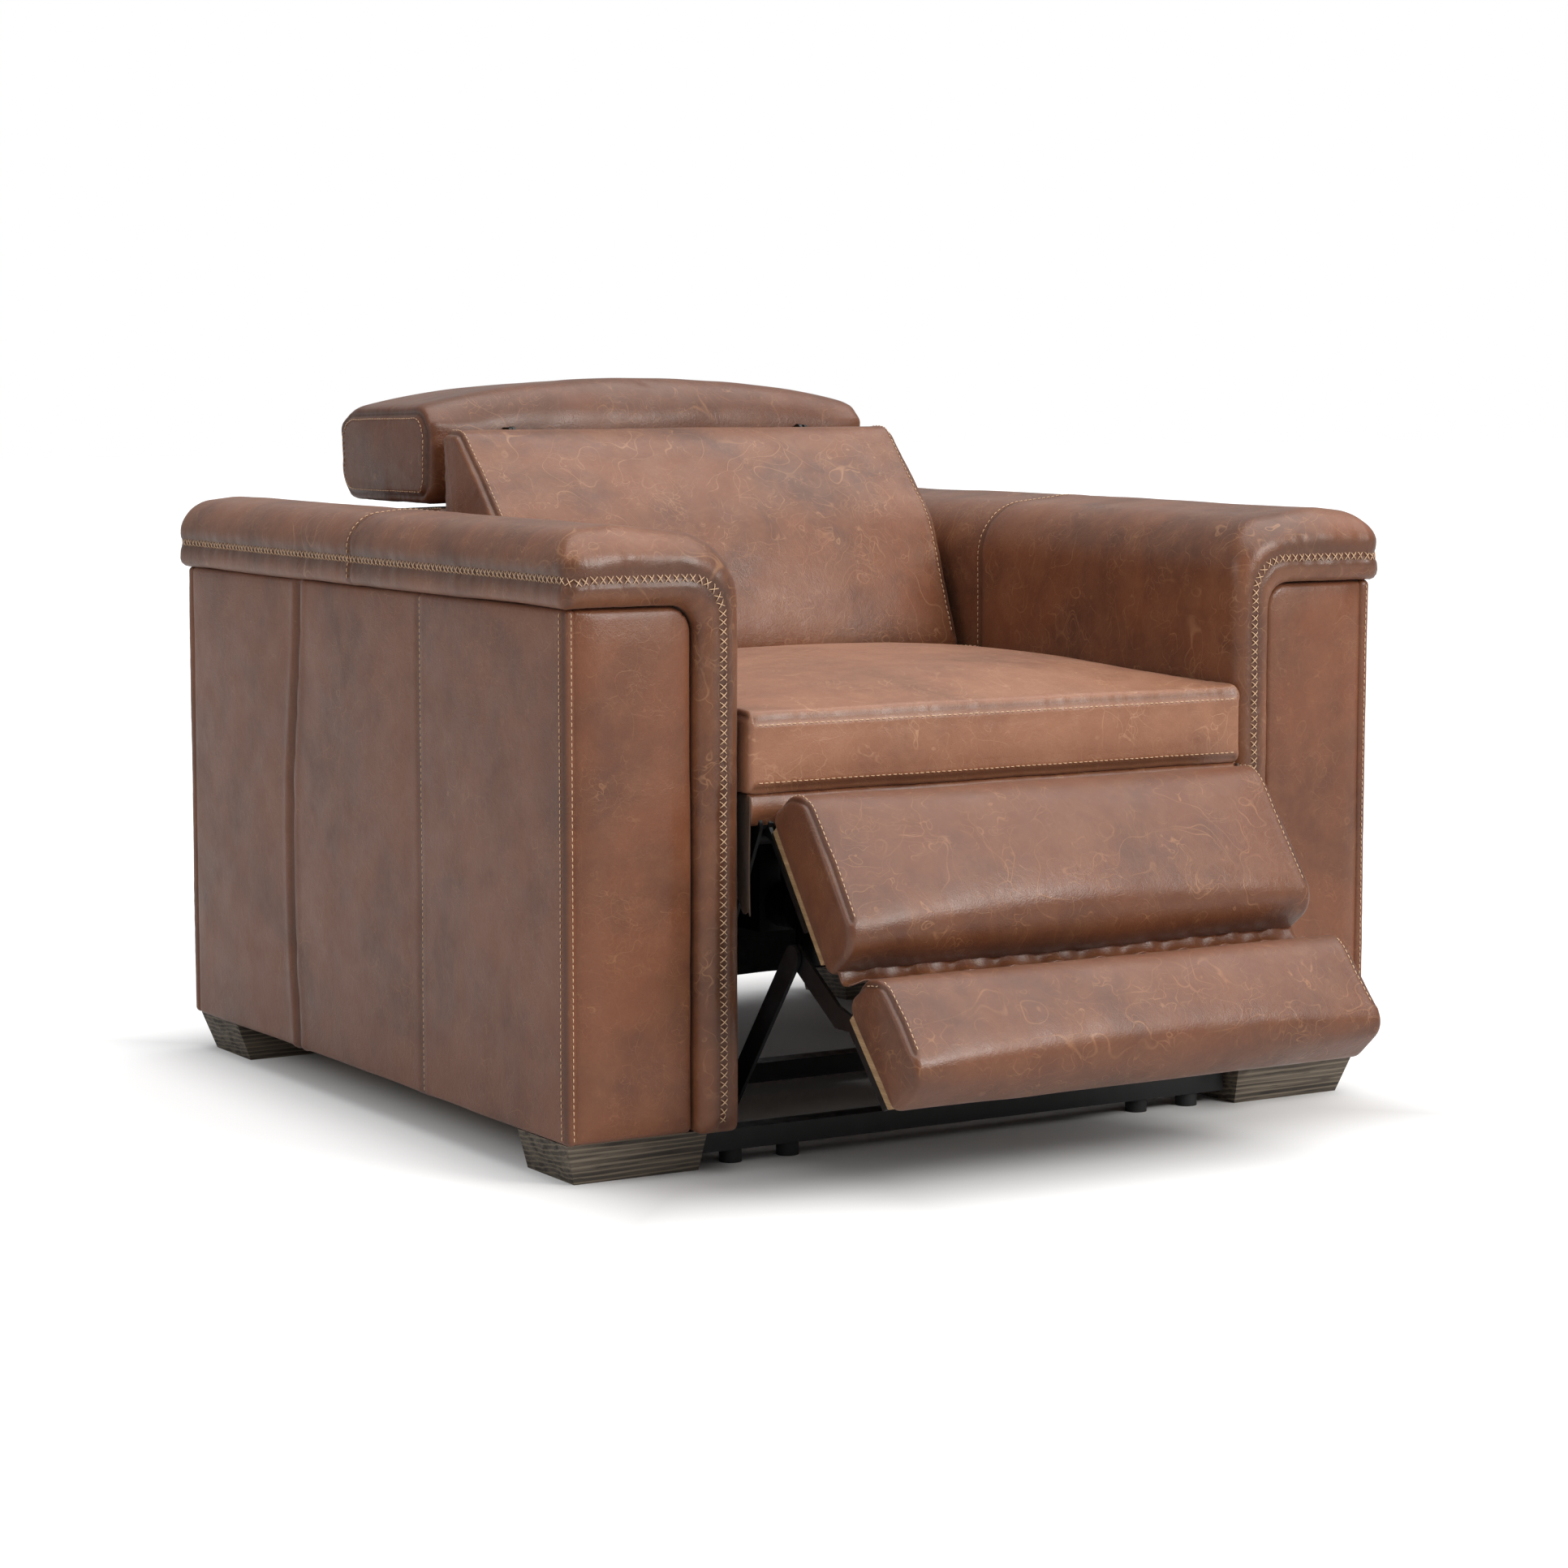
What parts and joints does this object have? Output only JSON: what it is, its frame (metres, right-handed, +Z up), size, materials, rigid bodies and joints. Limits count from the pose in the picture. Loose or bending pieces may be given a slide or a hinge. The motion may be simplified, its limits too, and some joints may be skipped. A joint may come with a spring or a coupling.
{
  "type": "power recliner armchair",
  "caption": "Leather power recliner with box arms, rolled cross-stitched arm pads, a fold-down headrest, a two-pad footrest on scissor links and tapered wood feet.",
  "frame": {"origin": "centre of the chair's footprint on the floor, with the footrest half open", "axes": "+X to the right seen from the front, +Y from front to back, +Z up"},
  "size_m": [1.076, 1.3421, 0.8328],
  "materials": {
    "cushion_leather": "satin",
    "panel_leather": "satin",
    "oak": "matte",
    "plywood": "matte",
    "black_steel": "satin",
    "zinc_steel": "satin",
    "spring_steel": "satin",
    "rubber": "matte",
    "black_plastic": "matte"
  },
  "bodies": {
    "base": {"arm_brackets": "black_steel", "arm_frames": "plywood", "arm_inner_pad_left": "cushion_leather", "arm_inner_pad_right": "cushion_leather", "arm_rear_panels": "panel_leather", "arm_top_pad_left": "cushion_leather", "arm_top_pad_right": "cushion_leather", "base_cross_rails": "black_steel", "base_glides": "rubber", "base_plates": "black_steel", "bracket_bolts": "zinc_steel", "control_box": "black_plastic", "foot_front_left": "oak", "foot_front_right": "oak", "foot_rear_left": "oak", "foot_rear_right": "oak", "footrest_motor": "black_plastic", "front_panel_left": "panel_leather", "front_panel_right": "panel_leather", "power_inlet": "black_plastic", "recline_motor": "black_plastic", "seat_cross_tubes": "black_steel", "seat_cushion": "cushion_leather", "seat_deck_frame": "plywood", "seat_front_board": "plywood", "seat_front_flap": "panel_leather", "seat_side_plates": "black_steel", "seat_springs": "spring_steel", "side_panel_left": "panel_leather", "side_panel_right": "panel_leather", "switch_bezel": "black_plastic", "torque_tube_hangers": "black_steel"},
    "swing_links": {"torque_tube": "black_steel", "front_links": "black_steel"},
    "rear_links": {"rear_links": "black_steel"},
    "lower_links": {"lower_links": "black_steel"},
    "lower_pad": {"lower_pad_brackets": "black_steel", "lower_pad_board": "plywood", "lower_pad": "cushion_leather"},
    "carrier_links": {"carrier_links": "black_steel"},
    "upper_pad": {"upper_pad_brackets": "black_steel", "upper_pad_board": "plywood", "upper_pad": "cushion_leather"},
    "drive_nut": {"drive_nut": "black_plastic"},
    "back": {"back_cushion": "cushion_leather", "back_frame": "plywood", "back_springs": "spring_steel", "back_top_panel": "panel_leather", "back_rear_panel": "panel_leather", "back_side_panels": "panel_leather", "back_hinge_plates": "black_steel", "recline_lever": "black_steel", "headrest_straps": "black_steel"},
    "recline_rod": {"recline_rod": "black_steel"},
    "headrest": {"headrest_frame": "black_steel", "headrest_gearmotor": "black_plastic", "headrest_pillow": "cushion_leather"},
    "footrest_rocker": {"footrest_rocker": "black_plastic"},
    "recline_rocker": {"recline_rocker": "black_plastic"},
    "headrest_rocker": {"headrest_rocker": "black_plastic"}
  },
  "joints": [
    {"name": "footrest", "type": "hinge", "parent": "base", "child": "swing_links", "pos_m": [0, -0.291, 0.35], "axis": [-1, 0, 0], "range_deg": [-32, 35]},
    {"name": "rear_link_swing", "type": "hinge", "parent": "base", "child": "rear_links", "pos_m": [0, -0.243, 0.35], "axis": [-1, 0, 0], "range_deg": [-33, 36]},
    {"name": "elbow", "type": "hinge", "parent": "swing_links", "child": "lower_links", "pos_m": [0, -0.2903, 0.066], "axis": [-1, 0, 0], "range_deg": [-38, 34]},
    {"name": "lower_pad_pivot", "type": "hinge", "parent": "lower_links", "child": "lower_pad", "pos_m": [0, -0.41821, 0.23617], "axis": [-1, 0, 0], "range_deg": [-44, 48]},
    {"name": "carrier_swing", "type": "hinge", "parent": "base", "child": "carrier_links", "pos_m": [0, -0.2747, 0.2], "axis": [-1, 0, 0], "range_deg": [-21, 20]},
    {"name": "upper_pad_pivot", "type": "hinge", "parent": "carrier_links", "child": "upper_pad", "pos_m": [0, -0.36388, 0.37077], "axis": [-1, 0, 0], "range_deg": [-56, 62]},
    {"name": "drive_nut_travel", "type": "slide", "parent": "base", "child": "drive_nut", "axis": [0, -1, 0], "range_m": [-0.045, 0.049]},
    {"name": "recline", "type": "hinge", "parent": "base", "child": "back", "pos_m": [0, 0.349, 0.33], "axis": [-1, 0, 0], "range_deg": [0, 25]},
    {"name": "recline_rod_travel", "type": "slide", "parent": "base", "child": "recline_rod", "axis": [0, -1, 0], "range_m": [0, 0.055]},
    {"name": "headrest_tilt", "type": "hinge", "parent": "back", "child": "headrest", "pos_m": [0, 0.394, 0.77], "axis": [1, 0, 0], "range_deg": [0, 75]},
    {"name": "footrest_rocker_tilt", "type": "hinge", "parent": "base", "child": "footrest_rocker", "pos_m": [-0.329, -0.181, 0.574], "axis": [0, 0, 1], "range_deg": [-5, 5], "stiffness_Nm_per_rad": 0.4},
    {"name": "recline_rocker_tilt", "type": "hinge", "parent": "base", "child": "recline_rocker", "pos_m": [-0.329, -0.147, 0.574], "axis": [0, 0, 1], "range_deg": [-5, 5], "stiffness_Nm_per_rad": 0.4},
    {"name": "headrest_rocker_tilt", "type": "hinge", "parent": "base", "child": "headrest_rocker", "pos_m": [-0.329, -0.113, 0.574], "axis": [0, 0, 1], "range_deg": [-5, 5], "stiffness_Nm_per_rad": 0.4}
  ],
  "couplings": [
    {"joint": "rear_link_swing", "follows": "footrest", "ratio": 1},
    {"joint": "elbow", "follows": "footrest", "ratio": -1.0462},
    {"joint": "lower_pad_pivot", "follows": "footrest", "ratio": 1.3518},
    {"joint": "carrier_swing", "follows": "footrest", "ratio": -0.5792},
    {"joint": "upper_pad_pivot", "follows": "footrest", "ratio": 1.7293},
    {"joint": "drive_nut_travel", "follows": "footrest", "m_per_rad": 0.0765},
    {"joint": "recline_rod_travel", "follows": "recline", "m_per_rad": 0.12}
  ]
}
